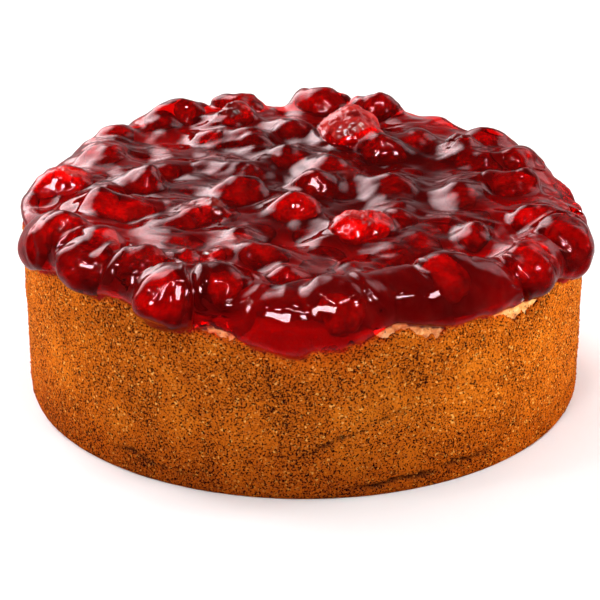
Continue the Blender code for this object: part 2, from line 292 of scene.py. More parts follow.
def setCamera():
    bpy.ops.object.camera_add(location=view["place"])
    camera = bpy.context.object
    camera.name = "studioCamera"
    aimAt(camera, view["aim"])
    camera.data.lens = view["lens"]
    camera.data.clip_start = 0.01
    bpy.context.scene.camera = camera


studio = {
    "world": 0.025,
    "tint": (1.0, 0.84, 0.86),
    "floor": (0.93, 0.93, 0.93, 1.0),
    "floorSize": 12.0,
    "floorHeight": -0.0002,
    "aim": (0.0, 0.0, 0.05),
    # soft glows behind and below the cake
    # direction, degrees from it to the bright core and to the faded edge, strength
    "glows": [
        ((-0.52, 0.74, 0.44), 6.0, 32.0, 7.8),
        ((0.62, 0.70, 0.52), 4.0, 22.0, 1.9),
        ((-0.15, 0.76, -0.63), 32.0, 77.0, 0.42),
    ],
    # name, place, width, height, watts, whether it lights surfaces, whether it shows in reflections
    "lamps": [
        ("topLamp", (0.10, -0.20, 1.50), 1.6, 1.2, 13.0, True, False),
        ("keyLamp", (-0.38, -0.95, 0.85), 0.24, 0.15, 4.0, True, False),
        ("fillLamp", (0.55, -0.80, 0.95), 0.14, 0.18, 2.4, True, False),
        ("leftWindow", (-0.45, -0.95, 0.90), 0.62, 0.40, 52.0, False, True),
        ("rightWindow", (0.55, -0.75, 0.85), 0.24, 0.36, 17.0, False, True),
        ("glintLamp", (0.02, -0.70, 1.30), 0.34, 0.14, 7.0, False, True),
        ("leftSpark", (-0.55, -0.30, 1.10), 0.06, 0.05, 1.3, True, True),
        ("rightSpark", (0.42, -0.35, 1.25), 0.06, 0.05, 1.3, True, True),
        ("leftGlint", (-0.30, -0.55, 1.20), 0.12, 0.07, 3.6, False, True),
        ("rightGlint", (0.25, -0.15, 1.35), 0.08, 0.08, 2.8, False, True),
        ("leftStrip", (-1.40, 0.68, 0.16), 0.50, 0.30, 28.0, True, False),
        ("rightStrip", (1.48, 0.30, 0.16), 0.50, 0.30, 32.0, True, False),
    ],
}


def softWorld():
    # a dim world with soft-edged glows in it
    world = bpy.data.worlds.new("paleWorld")
    bpy.context.scene.world = world
    world.use_nodes = True
    sky = world.node_tree.nodes["Background"]
    sky.inputs["Color"].default_value = (*studio["tint"], 1.0)
    where = addNode(world, "ShaderNodeTexCoord").outputs["Generated"]
    total = None
    for towards, core, edge, strength in studio["glows"]:
        facing = addNode(world, "ShaderNodeVectorMath", operation="DOT_PRODUCT")
        facing.inputs[1].default_value = Vector(towards).normalized()
        link(world, where, facing.inputs[0])
        fade = addNode(world, "ShaderNodeMapRange", interpolation_type="SMOOTHSTEP")
        fade.inputs["From Min"].default_value = math.cos(math.radians(edge))
        fade.inputs["From Max"].default_value = math.cos(math.radians(core))
        fade.inputs["To Min"].default_value = 0.0 if total else studio["world"]
        fade.inputs["To Max"].default_value = strength
        link(world, facing.outputs["Value"], fade.inputs["Value"])
        if total:
            both = addNode(world, "ShaderNodeMath", operation="ADD")
            link(world, total, both.inputs[0])
            link(world, fade.outputs["Result"], both.inputs[1])
            total = both.outputs[0]
        else:
            total = fade.outputs["Result"]
    link(world, total, sky.inputs["Strength"])


def makeStudio():
    bpy.context.scene.view_settings.view_transform = "Standard"
    bpy.context.scene.view_settings.look = "None"
    softWorld()
    for name, place, width, height, power, lights, seen in studio["lamps"]:
        bpy.ops.object.light_add(type="AREA", location=place)
        lamp = bpy.context.object
        lamp.name = name
        lamp.data.shape = "RECTANGLE"
        lamp.data.size = width
        lamp.data.size_y = height
        lamp.data.energy = power
        lamp.visible_diffuse = lights
        lamp.visible_glossy = seen
        aimAt(lamp, studio["aim"])
    deselectAll()
    bpy.ops.mesh.primitive_plane_add(size=studio["floorSize"], location=(0.0, 0.0, studio["floorHeight"]))
    floor = bpy.context.object
    floor.name = "paleFloor"
    made, shader = newMaterial("palePaper")
    shader.inputs["Base Color"].default_value = studio["floor"]
    shader.inputs["Roughness"].default_value = 0.7
    shader.inputs["Specular IOR Level"].default_value = 0.2
    floor.data.materials.append(made)
    bakePlace(floor)
    floor.visible_glossy = False
    print("studio made")


def makeTin(name, around, radius, bottom, rows):
    # a cylinder as high as the cake, with rows in its wall, left in edit mode with its top selected
    depth = cake["height"] - bottom
    deselectAll()
    bpy.ops.mesh.primitive_cylinder_add(
        vertices=around, radius=radius, depth=depth,
        end_fill_type="NGON", location=(0.0, 0.0, bottom + depth / 2),
    )
    piece = bpy.context.object
    piece.name = name
    bakePlace(piece)
    bpy.ops.object.mode_set(mode="EDIT")
    made = bmesh.from_edit_mesh(piece.data)
    for edge in made.edges:
        edge.select_set(abs(edge.verts[0].co.z - edge.verts[1].co.z) > depth / 2)
    bpy.ops.mesh.subdivide(number_cuts=rows - 1)
    made = bmesh.from_edit_mesh(piece.data)
    made.select_mode = {"FACE"}
    for face in made.faces:
        face.select_set(len(face.verts) > 8 and face.calc_center_median().z > cake["height"] - 0.001)
    made.select_flush_mode()
    return piece


crust = {
    "around": 880,
    "rows": 84,
    "rings": 4,
    "hollow": 0.012,
    "lip": 0.0004,
    "inset": 0.0002,
    # the broken edge is ragged: noise scale, degrees; and nibbled: noise scale, share of the depth
    "ragged": (160.0, 1.5),
    "nibbled": (420.0, 0.35),
    # how foot and edge round off: height, depth
    "footRound": (0.0026, 0.0005),
    "edgeRound": (0.0016, 0.0009),
    # how cracks wander: size, noise scale, noise place
    "wander": [(0.0016, 130.0, 7.0), (0.0007, 420.0, 8.0)],
    # shallow cracks: angle and height at each end, half width, depth
    "furrows": [
        (-92.0, 0.0150, -69.0, 0.0320, 0.0008, 0.0008), (-84.0, 0.0030, -48.0, 0.0080, 0.0008, 0.0018),
        (-132.0, 0.0090, -112.0, 0.0050, 0.0007, 0.0007), (-30.0, 0.0070, -8.0, 0.0100, 0.0007, 0.0008),
        (20.0, 0.0060, 52.0, 0.0110, 0.0008, 0.0010), (70.0, 0.0300, 92.0, 0.0160, 0.0008, 0.0005),
        (118.0, 0.0050, 150.0, 0.0090, 0.0007, 0.0010),
    ],
    # texture kind, grain size, strength
    "relief": [("CLOUDS", 0.0110, 0.0006), ("VORONOI", 0.0022, 0.0005), ("CLOUDS", 0.0012, 0.0007)],
    "baked": (0.440, 0.086, 0.003),
    "light": (0.640, 0.165, 0.008),
    "dark": (0.260, 0.044, 0.001),
    # painted shade for the pores and the cracks
    "pore": (0.020, 0.004, 0.001),
    "grain": (0.860, 0.420, 0.080),
    "footShade": (0.640, 0.470, 0.250),
    "footHeight": 0.026,
    "soaked": (0.220, 0.010, 0.008),
}


def shadeFoot(made, where, colour):
    # the crumb is darker towards the foot
    height = addNode(made, "ShaderNodeSeparateXYZ")
    link(made, where, height.inputs["Vector"])
    rise = addNode(made, "ShaderNodeMapRange")
    rise.inputs["From Max"].default_value = crust["footHeight"]
    link(made, height.outputs["Z"], rise.inputs["Value"])
    shade = ramp(made, rise.outputs["Result"], [(0.0, crust["footShade"]), (1.0, (1.0, 1.0, 1.0))])
    return mixColour(made, 1.0, colour, shade, "MULTIPLY")


def grainMaterial():
    made, shader = newMaterial("bakedCrumb")
    where = addNode(made, "ShaderNodeTexCoord").outputs["Object"]
    patches = textureAt(made, where, "Noise", Scale=55.0, Detail=4.0, Roughness=0.6)
    grains = textureAt(made, where, "Voronoi", Scale=1350.0)
    fine = textureAt(made, where, "Noise", Scale=1450.0, Detail=3.0, Roughness=0.65)
    warp = textureAt(made, where, "Noise", Scale=420.0, Detail=2.0)
    bent = mixColour(made, 0.0018, where, warp.outputs["Color"])
    pores = textureAt(made, bent, "Voronoi", Scale=1000.0)

    base = ramp(made, patches.outputs["Fac"], [
        (0.30, crust["dark"]), (0.50, crust["baked"]), (0.72, crust["light"])])
    pale = ramp(made, fine.outputs["Fac"], [(0.46, 0.0), (0.66, 0.9)])
    toned = mixColour(made, pale, base, crust["light"])
    speck = ramp(made, grains.outputs["Color"], [(0.80, 0.0), (0.90, 0.8)])
    grainy = mixColour(made, speck, toned, crust["grain"])
    # painted shade in the pores
    holeShadeMask = ramp(made, pores.outputs["Distance"], [(0.20, 1.0), (0.36, 0.0)])
    holed = mixColour(made, holeShadeMask, grainy, crust["pore"])
    # painted shade in the pores of the fine noise, which are thicker in the darker patches
    thinned = addNode(made, "ShaderNodeMath", operation="MULTIPLY_ADD")
    thinned.inputs[1].default_value = 0.12
    link(made, patches.outputs["Fac"], thinned.inputs[0])
    link(made, fine.outputs["Fac"], thinned.inputs[2])
    deep = ramp(made, thinned.outputs[0], [(0.472, 1.0), (0.515, 0.0)])
    colour = mixColour(made, deep, holed, crust["pore"])
    colour = shadeFoot(made, where, colour)
    # painted shade along the cracks
    crackShade = addNode(made, "ShaderNodeAttribute", attribute_name="furrow")
    colour = mixColour(made, crackShade.outputs["Fac"], colour, crust["pore"])
    wet = addNode(made, "ShaderNodeAttribute", attribute_name="soaked")
    colour = mixColour(made, wet.outputs["Fac"], colour, crust["soaked"])
    link(made, colour, shader.inputs["Base Color"])
    shader.inputs["Roughness"].default_value = 0.82
    shader.inputs["Specular IOR Level"].default_value = 0.02
    addBump(made, shader, fine.outputs["Fac"], (0.55, 0.0006))
    return made


def displaced(piece, kind, size, strength, group=None):
    pattern = bpy.data.textures.new(f"{piece.name}{kind}{size}", kind)
    pattern.noise_scale = size
    step = piece.modifiers.new(f"relief{size}", "DISPLACE")
    step.texture = pattern
    step.texture_coords = "LOCAL"
    step.strength = strength
    if group:
        step.vertex_group = group


def furrowDepth(spots, angle):
    # how dark (painted shade) and how deep each point of the wall is in a crack
    wander = sum(size * noiseAt(spots, scale, shift) for size, scale, shift in crust["wander"])
    broken = np.clip(0.95 + 1.5 * noiseAt(spots, 210.0, 9.0), 0.0, 1.0)
    dark = np.zeros(len(spots))
    deep = np.zeros(len(spots))
    for start, low, stop, high, width, depth in crust["furrows"]:
        along = (angle - start) / (stop - start)
        middle = low + (high - low) * along + wander
        fade = np.clip(4.0 * along, 0.0, 1.0) * np.clip(4.0 * (1.0 - along), 0.0, 1.0)
        near = np.exp(-(((spots[:, 2] - middle) / width) ** 2)) * fade * broken
        # dark is the painted shade of the crack
        dark = np.maximum(dark, 0.95 * near)
        deep = np.maximum(deep, depth * near)
    return dark, deep


def makeCrust():
    piece = makeTin("crumbCrust", crust["around"], cake["radius"], 0.0, crust["rows"])
    for _ in range(crust["rings"]):
        bpy.ops.mesh.inset(thickness=cake["crust"] / crust["rings"])
    bpy.ops.mesh.extrude_region_move(TRANSFORM_OT_translate={"value": (0.0, 0.0, -crust["hollow"])})
    bpy.ops.object.mode_set(mode="OBJECT")

    spots = verts(piece)
    radius, angle = polar(spots)
    share = np.clip(spots[:, 2] / cake["height"], 0.0, 1.0)
    flat = spots * (1.0, 1.0, 0.0)
    broken = brokenDepth(angle + crust["ragged"][1] * noiseAt(flat, crust["ragged"][0]))
    broken = broken * (1.0 + crust["nibbled"][1] * noiseAt(flat, crust["nibbled"][0], 3.0))
    top = rimTop(cake["radius"], angle) + crust["lip"] - broken
    outer = radius > cake["radius"] - cake["crust"] - 0.0005
    height = spots[:, 2]
    spots[:, 2] = np.where(outer | (share > 0.9), share * top, height)
    hollow = (share < 0.99) & (radius < cake["radius"] - 0.003)
    spots[:, 2] = np.where(hollow, height, spots[:, 2])
    wall = radius > cake["radius"] - 0.0001
    taper = (cake["radius"] - cake["baseRadius"]) * (1.0 - share)
    cracks, cut = furrowDepth(spots, angle)
    low = np.clip(1.0 - spots[:, 2] / crust["footRound"][0], 0.0, 1.0)
    high = np.clip(1.0 - (top - spots[:, 2]) / crust["edgeRound"][0], 0.0, 1.0)
    rounding = crust["footRound"][1] * low**2, crust["edgeRound"][1] * high**2
    inward = taper + cut + rounding[0] + rounding[1] + crust["inset"]
    scale = np.where(wall, (radius - inward) / radius, 1.0)
    spots[:, 0] *= scale
    spots[:, 1] *= scale
    setVerts(piece, spots)
    # the painted shade of the cracks, for the material
    writeShare(piece, "furrow", cracks)

    # the relief is on the outside alone
    skin = piece.vertex_groups.new(name="skin")
    showing = np.nonzero(radius > cake["radius"] - cake["crust"] * 0.6)[0]
    skin.add([int(i) for i in showing if spots[i, 2] > 0.0006], 1.0, "REPLACE")
    for kind, size, strength in crust["relief"]:
        displaced(piece, kind, size, strength, "skin")
    applyAll(piece)
    shadeSmooth(piece)
    piece.vertex_groups.clear()
    piece.data.materials.append(grainMaterial())
    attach(piece, "root")
    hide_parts("crumb_crust")
    print("crust made", len(piece.data.polygons))
    return piece


crumb = {
    "seed": 5,
    "columns": 250,
    "rows": 25,
    "jitter": 0.8,
    "size": (0.00030, 0.00070),
    "sink": 0.35,
    "clear": (0.0012, 0.0008),      # from the floor, and from the edge of the crust
    "deepest": 0.0035,
    "brown": (0.420, 0.095, 0.006),
    "tan": (0.700, 0.250, 0.030),
    "burnt": (0.060, 0.012, 0.002),
}


def crumbMaterial():
    made, shader = newMaterial("looseCrumb")
    where = addNode(made, "ShaderNodeTexCoord").outputs["Object"]
    mix = textureAt(made, where, "Noise", Scale=420.0, Detail=3.0, Roughness=0.7)
    colour = ramp(made, mix.outputs["Fac"], [
        (0.36, crumb["burnt"]), (0.46, crumb["brown"]), (0.66, crumb["tan"])])
    link(made, shadeFoot(made, where, colour), shader.inputs["Base Color"])
    shader.inputs["Roughness"].default_value = 0.75
    shader.inputs["Specular IOR Level"].default_value = 0.04
    return made


def makeCrumbs(wall, jellyTree):
    # grains that stand out of the crust: one grain, set into the wall many times
    deselectAll()
    bpy.ops.mesh.primitive_ico_sphere_add(subdivisions=1, radius=1.0)
    piece = bpy.context.object
    piece.name = "crustGrains"
    grain = verts(piece)
    sides = [tuple(face.vertices) for face in piece.data.polygons]
    surface = treeOf(wall)
    dice = random.Random(crumb["seed"])
    spots = []
    faces = []
    for row in range(crumb["rows"]):
        for column in range(crumb["columns"]):
            shift = 0.5 * (row % 2) + crumb["jitter"] * dice.uniform(-0.5, 0.5)
            around = 360.0 * (column + shift) / crumb["columns"]
            share = (row + 0.5 + crumb["jitter"] * dice.uniform(-0.5, 0.5)) / crumb["rows"]
            size = crumb["size"][0] + (crumb["size"][1] - crumb["size"][0]) * dice.random() ** 2
            turn = Euler([dice.uniform(0.0, 6.3) for _ in range(3)]).to_matrix()
            stretch = (dice.uniform(0.8, 1.3), dice.uniform(0.7, 1.1), dice.uniform(0.6, 1.0))
            angle = (around + 180.0) % 360.0 - 180.0
            low, high = crumb["clear"]
            height = low + share * (rimTop(cake["radius"], angle) - high - low)
            outward = Vector((math.cos(math.radians(around)), math.sin(math.radians(around)), 0.0))
            start = outward * (cake["radius"] + 0.02) + Vector((0.0, 0.0, height))
            hit = surface.ray_cast(start, -outward, 0.03)[0]
            if hit is None or hit.xy.length < cake["baseRadius"] - crumb["deepest"]:
                continue
            if underJelly(jellyTree, hit, outward):
                continue
            centre = hit - outward * size * crumb["sink"]
            shaped = (grain * stretch) @ np.array(turn.transposed()) * size
            first = len(spots) * len(grain)
            spots.append(shaped + np.array(centre))
            faces.extend(tuple(first + i for i in side) for side in sides)
    mesh = bpy.data.meshes.new("crustGrains")
    mesh.from_pydata(np.concatenate(spots).tolist(), [], faces)
    piece.data = mesh
    piece.data.materials.append(crumbMaterial())
    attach(piece, "root")
    print("crumbs made", len(spots))


filling = {
    "around": 700,
    "rings": 12,
    "rows": 18,
    "bottom": 0.0490,
    "overlap": 0.0002,
    # at a break it swells towards the crust's face: gap left, depth of break, share of height, radius
    "swell": (0.0014, 0.0020, (0.12, 0.10), 0.006),
    "edgeRound": 0.0010,
    "relief": [("CLOUDS", 0.0030, 0.0013), ("CLOUDS", 0.0011, 0.0008)],
    # painted shade in the holes
    "hole": (0.160, 0.050, 0.010),
    "pale": (0.860, 0.380, 0.090),
    "toasted": (0.600, 0.170, 0.022),
    "cream": (0.920, 0.600, 0.260),
    # the top, stained by the jelly, with painted shade over the stain that is darkest in the middle, from its
    # darkest place out to the front edge
    "stain": [(0.10, (0.010, 0.001, 0.001)), (0.28, (0.040, 0.003, 0.002)), (0.46, (0.220, 0.010, 0.008)),
              (0.64, (0.380, 0.020, 0.016)), (0.79, (0.120, 0.007, 0.005))],
}


def cheeseMaterial():
    made, shader = newMaterial("bakedCheese")
    where = addNode(made, "ShaderNodeTexCoord").outputs["Object"]
    mottle = textureAt(made, where, "Noise", Scale=330.0, Detail=5.0, Roughness=0.7)
    crumbs = textureAt(made, where, "Voronoi", Scale=620.0)
    colour = ramp(made, mottle.outputs["Fac"], [
        (0.38, filling["toasted"]), (0.50, filling["pale"]), (0.64, filling["cream"])])
    # painted shade in the holes
    holeShadeMask = ramp(made, crumbs.outputs["Distance"], [(0.12, 0.85), (0.24, 0.0)])
    colour = mixColour(made, holeShadeMask, colour, filling["hole"])
    # the edges of the painted stain and shade are uneven
    patchy = textureAt(made, where, "Noise", Scale=32.0, Detail=3.0)
    spread = addNode(made, "ShaderNodeMath", operation="MULTIPLY_ADD")
    spread.inputs[1].default_value = 0.5
    link(made, patchy.outputs["Fac"], spread.inputs[0])
    link(made, shadeShare(made, where), spread.inputs[2])
    shifted = addNode(made, "ShaderNodeMath", operation="SUBTRACT")
    shifted.inputs[1].default_value = 0.25
    link(made, spread.outputs[0], shifted.inputs[0])
    # the soaked top takes the stain colours, with painted shade in them
    wet = addNode(made, "ShaderNodeAttribute", attribute_name="soaked")
    colour = mixColour(made, wet.outputs["Fac"], colour, ramp(made, shifted.outputs[0], filling["stain"]))
    link(made, colour, shader.inputs["Base Color"])
    shader.inputs["Roughness"].default_value = 0.65
    shader.inputs["Subsurface Weight"].default_value = 0.15
    shader.inputs["Subsurface Radius"].default_value = (0.003, 0.0015, 0.0006)
    addBump(made, shader, mottle.outputs["Fac"], (0.5, 0.0006))
    return made


def makeFilling():
    inner = cake["radius"] - cake["crust"] + filling["overlap"]
    piece = makeTin("cheeseFilling", filling["around"], inner, filling["bottom"], filling["rows"])
    for _ in range(filling["rings"]):
        bpy.ops.mesh.inset(thickness=inner / (filling["rings"] + 1))
    bpy.ops.object.mode_set(mode="OBJECT")

    spots = verts(piece)
    radius, angle = polar(spots)
    share = (spots[:, 2] - filling["bottom"]) / (cake["height"] - filling["bottom"])
    top = rimTop(radius, angle) + filling["overlap"]
    spots[:, 2] = filling["bottom"] + share * (top - filling["bottom"])
    gap, depth, (low, soft), band = filling["swell"]
    swell = (cake["crust"] - gap) * np.clip(brokenDepth(angle) / depth, 0.0, 1.0)
    swell = swell * np.clip((share - low) / soft, 0.0, 1.0) * np.clip((radius - inner + band) / band, 0.0, 1.0)
    rounded = filling["edgeRound"] * np.clip((share - 0.86) / 0.14, 0.0, 1.0) ** 2
    grow = (radius + swell - rounded * (radius > inner - 0.001)) / np.maximum(radius, 1e-6)
    spots[:, 0] *= grow
    spots[:, 1] *= grow
    setVerts(piece, spots)
    for kind, size, strength in filling["relief"]:
        displaced(piece, kind, size, strength)
    applyAll(piece)
    shadeSmooth(piece)
    piece.data.materials.append(cheeseMaterial())
    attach(piece, "root")
    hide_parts("cheese_filling")
    print("filling made", len(piece.data.polygons))
    return piece


soak = {
    # how steeply to look outwards, and how far
    "rises": (0.0, 0.45),
    "far": 0.03,
    # only this high up, and for certain this far inside the filling's edge
    "above": 0.045,
    "inside": 0.0015,
    # where a look starts: above the point, and inwards of it
    "start": (0.0003, 0.0004),
}


def underJelly(jellyTree, start, away):
    # whether jelly lies in front of a point, level with it or a little above
    for rise in soak["rises"]:
        towards = (away + Vector((0.0, 0.0, rise))).normalized()
        if jellyTree.ray_cast(start, towards, soak["far"])[0] is not None:
            return True
    return False


def soakUnder(piece, jellyTree):
    # jelly has soaked into whatever it covers
    spots = verts(piece)
    soaked = np.zeros(len(spots))
    for i, (x, y, z) in enumerate(spots):
        out = math.hypot(x, y)
        if z <= soak["above"]:
            continue
        if out < cake["radius"] - cake["crust"] - soak["inside"]:
            soaked[i] = 1.0
            continue
        away = Vector((x / out, y / out, 0.0))
        start = Vector((x, y, z + soak["start"][0])) - soak["start"][1] * away
        soaked[i] = float(underJelly(jellyTree, start, away))
    writeShare(piece, "soaked", soaked)


berry = {
    # berries that stand clear of the jelly, and how far their skin stands above its film
    "bare": {
        "hero": 0.0006, "broken": 0.0006, "back_dark_seeded": 0.0004, "centre_seeded": 0.0003,
        "left_seeded": 0.0003, "right_back_seeded": 0.0003, "mid_back_crumpled": 0.0003,
        "back_left_point": 0.0002, "front_sliver": 0.0002, "back_seeded_small": 0.0002,
    },
    "bareGloss": 0.18,
    "orangeOnes": ["centre_cut", "mid_brown", "right_orange", "left_small"],
    "brightOnes": ["hero", "broken", "back_left_point"],
    "darkOnes": ["back_dark_seeded", "front_mid", "left_seeded", "mid_back_crumpled", "left_dome",
                 "centre_seeded", "right_back_seeded", "right_wrinkled", "right_lobe", "left_front_lobe",
                 "back_left_inner", "back_left_outer"],
    "grow": 1.06,
    "growHero": (1.16, 1.08, 1.02),
    "heroFlare": (0.5, 0.4),    # how it broadens upwards, and the share of its height that keeps its width
    # humps that are nearly all jelly: size of the berry in each, and thickness of the jelly over it
    "humps": {
        "front_round": (0.74, 0.0034), "front_fold": (0.70, 0.0026), "right_dome": (0.82, 0.0020),
        "right_back_hump": (0.84, 0.0020), "left_back_hump": (0.84, 0.0020),
        "back_right_edge": (0.86, 0.0016), "back_dome": (0.86, 0.0016), "left_lobe": (0.90, 0.0014),
    },
    # how far the covered ones settle, and single ones that settle more
    "lower": 0.0010,
    "drops": {
        "right_small": 0.0028, "centre_right_small": 0.0026, "right_wrinkled": 0.0026, "right_orange": 0.0022,
        "mid_brown": 0.0030, "mid_ridge": 0.0026, "front_mid": 0.0022, "front_mid_left": 0.0018,
        "right_back_piece": 0.0024, "back_mid": 0.0020, "centre_highlight": 0.0018,
        "mid_back_crumpled": 0.0018, "back_left_inner": 0.0030, "left_back_low": 0.0026,
    },
    # those that lie elsewhere than in the CAD
    "moves": {
        "right_glossy": (-0.0010, 0.0, -0.0018), "right_lobe": (-0.0016, 0.0022, 0.0014),
        "left_lobe": (0.0026, 0.0010, -0.0004), "left_long": (-0.0034, 0.0030, -0.0004),
        "left_front_lobe": (-0.0018, 0.0030, -0.0004), "left_small": (-0.0056, 0.0020, -0.0006),
        "left_pair_outer": (0.0040, 0.0020, -0.0012), "left_pair_inner": (0.0, 0.0040, -0.0018),
        "left_seeded": (-0.0025, -0.0010, -0.0006), "front_left_lobe": (0.0004, 0.0010, -0.0002),
        "back_left_outer": (0.0036, 0.0, -0.0036), "left_back_hump": (0.0020, 0.0, -0.0020),
        "back_left_point": (0.0016, 0.0, -0.0010), "back_right_edge": (-0.0010, 0.0, -0.0030),
        "right_back_hump": (-0.0032, -0.0010, -0.0018), "right_edge": (-0.0085, -0.0010, -0.0062),
        "right_front_lobe": (0.0002, 0.0046, 0.0024), "front_right_wrinkled": (0.0005, 0.0045, 0.0014),
    },
    "sizes": {
        "left_front_lobe": 1.0, "front_left_lobe": 0.96, "right_lobe": 0.96, "right_front_lobe": 0.94,
        "front_right_wrinkled": 0.96,
    },
    # relief: grain, strength
    "lump": (0.0130, 0.0070),
    "crumple": (0.0085, 0.0024),
    "heroCrumple": (0.0085, 0.0009),
    "wrinkle": (0.0034, 0.0006),
    "seedSize": 0.0021,
    "seedDepth": 0.0009,
    # dark, middle and light colour of each finish
    "tones": {
        "redBerry": [(0.060, 0.002, 0.002), (0.165, 0.005, 0.004), (0.340, 0.026, 0.012)],
        "darkBerry": [(0.030, 0.002, 0.002), (0.090, 0.003, 0.003), (0.210, 0.014, 0.008)],
        "brightBerry": [(0.150, 0.005, 0.005), (0.360, 0.014, 0.012), (0.600, 0.046, 0.034)],
        "orangeBerry": [(0.170, 0.006, 0.004), (0.340, 0.028, 0.010), (0.520, 0.130, 0.040)],
    },
    "pit": (0.060, 0.002, 0.002),
    # painted shade: those under the jelly are darker where it is deepest, and a little darker again at the
    # front edge
    "shade": [
        (0.14, (0.34, 0.32, 0.32)), (0.40, (0.70, 0.70, 0.70)),
        (0.62, (1.0, 1.0, 1.0)), (0.84, (0.85, 0.85, 0.85)),
    ],
}


def berryMaterial(name, tones, gloss):
    made, shader = newMaterial(name)
    where = addNode(made, "ShaderNodeTexCoord").outputs["Object"]
    blotch = textureAt(made, where, "Noise", Scale=120.0, Detail=6.0, Roughness=0.68)
    pits = textureAt(made, where, "Voronoi", Scale=480.0, Randomness=0.7)
    colour = ramp(made, blotch.outputs["Fac"], list(zip((0.34, 0.50, 0.68), tones)))
    pitted = ramp(made, pits.outputs["Distance"], [(0.06, 0.45), (0.26, 0.0)])
    colour = mixColour(made, pitted, colour, berry["pit"])
    if gloss == 0.0:
        # painted shade, darkest towards the middle of the top
        shade = ramp(made, shadeShare(made, where), berry["shade"])
        colour = mixColour(made, 1.0, colour, shade, "MULTIPLY")
    link(made, colour, shader.inputs["Base Color"])
    shader.inputs["Roughness"].default_value = 0.08
    shader.inputs["Specular IOR Level"].default_value = gloss
    shader.inputs["Subsurface Weight"].default_value = 0.25
    shader.inputs["Subsurface Radius"].default_value = (0.004, 0.0006, 0.0004)
    addBump(made, shader, pits.outputs["Distance"], (0.6, 0.0005))
    return made


def makeBerries():
    # under the jelly's film a berry has no gloss of its own
    finishes = {}
    for name, tones in berry["tones"].items():
        finishes[name] = berryMaterial(name, tones, 0.0)
        finishes[name + "Bare"] = berryMaterial(name + "Bare", tones, berry["bareGloss"])
    made = {}
    for node in sorted(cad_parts):
        label = node.replace("strawberry_", "")
        if label == "jelly" or label == node:
            continue
        piece = copyNode(node, "berry" + "".join(word.capitalize() for word in label.split("_")))
        bare = label in berry["bare"]
        # rounding off a coarse shape shrinks it, so it grows first
        spots = verts(piece)
        middle = spots.mean(axis=0)
        size = berry["growHero"] if label == "hero" else berry["sizes"].get(label, berry["grow"])
        size = berry["humps"].get(label, (size, 0.0))[0]
        if label == "hero":
            # broader towards its blunt top
            share = (spots[:, 2] - spots[:, 2].min()) / np.ptp(spots[:, 2])
            flare = 1.0 + berry["heroFlare"][0] * (share[:, None] - berry["heroFlare"][1])
            spots[:, :2] = middle[:2] + (spots[:, :2] - middle[:2]) * flare
        drop = berry["drops"].get(label, 0.0 if bare else berry["lower"])
        move = berry["moves"].get(label, (0.0, 0.0, -drop))
        setVerts(piece, middle + (spots - middle) * size + move)
        rounded = piece.modifiers.new("rounded", "SUBSURF")
        rounded.levels = rounded.render_levels = 3 if bare else 2
        displaced(piece, "CLOUDS", *berry["lump"])
        displaced(piece, "VORONOI", *berry["heroCrumple" if label == "hero" else "crumple"])
        displaced(piece, "CLOUDS", *berry["wrinkle"])
        if bare:
            displaced(piece, "VORONOI", berry["seedSize"], berry["seedDepth"])
        applyAll(piece)
        shadeSmooth(piece)
        piece.data.materials.clear()
        finish = "orangeBerry" if label in berry["orangeOnes"] else "redBerry"
        finish = "darkBerry" if label in berry["darkOnes"] else finish
        finish = "brightBerry" if label in berry["brightOnes"] else finish
        piece.data.materials.append(finishes[finish + "Bare" if bare else finish])
        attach(piece, "root")
        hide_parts(node)
        made[label] = piece
    print("berries made", len(made))
    return made


sunk = {
    "seed": 11,
    "count": 36,
    "reach": 0.090,
    "rimClear": 0.083,
    "apart": 0.0120,
    "size": (0.0105, 0.0150),
    "stretch": (1.25, 1.0, 0.85),
    "tilt": 0.4,
    "lift": (-0.0055, 0.0002),
    # how they go down towards the rim: depth, start, length
    "rimDrop": (0.0035, 0.070, 0.012),
    "raise": 0.42,
    "tries": 4000,
}


def makeSunkBerries(made):
    # berries that the jelly covers: one shape, turned and copied
    dice = random.Random(sunk["seed"])
    taken = [verts(piece).mean(axis=0)[:2] for piece in made.values()]
    pieces = []
    for _ in range(sunk["tries"]):
        if len(pieces) == sunk["count"]:
            break
        around = dice.uniform(0.0, 2 * math.pi)
        out = sunk["reach"] * math.sqrt(dice.random())
        spot = np.array([out * math.cos(around), out * math.sin(around)])
        nearest = min(np.hypot(*(spot - other)) for other in taken)
        if out > sunk["rimClear"] or nearest < sunk["apart"]:
            continue
        taken.append(spot)
        size = dice.uniform(*sunk["size"])
        deselectAll()
        bpy.ops.mesh.primitive_uv_sphere_add(segments=20, ring_count=14, radius=0.5)
        piece = bpy.context.object
        piece.scale = [size * stretch for stretch in sunk["stretch"]]
        tilts = [dice.uniform(-sunk["tilt"], sunk["tilt"]) for _ in range(2)]
        piece.rotation_euler = Euler((*tilts, dice.uniform(0.0, 6.3)))
        drop, start, length = sunk["rimDrop"]
        top = float(rimTop(out, math.degrees(around))) - drop * min(1.0, max(0.0, (out - start) / length))
        piece.location = (spot[0], spot[1], top + dice.uniform(*sunk["lift"]) + size * sunk["raise"])
        bakePlace(piece)
        displaced(piece, "CLOUDS", *berry["lump"])
        applyAll(piece)
        pieces.append(piece)
    piece = joinAll(pieces, "sunkBerries")
    shadeSmooth(piece)
    piece.data.materials.append(bpy.data.materials["darkBerry"])
    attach(piece, "root")
    print("sunk berries made", len(pieces))
    return piece


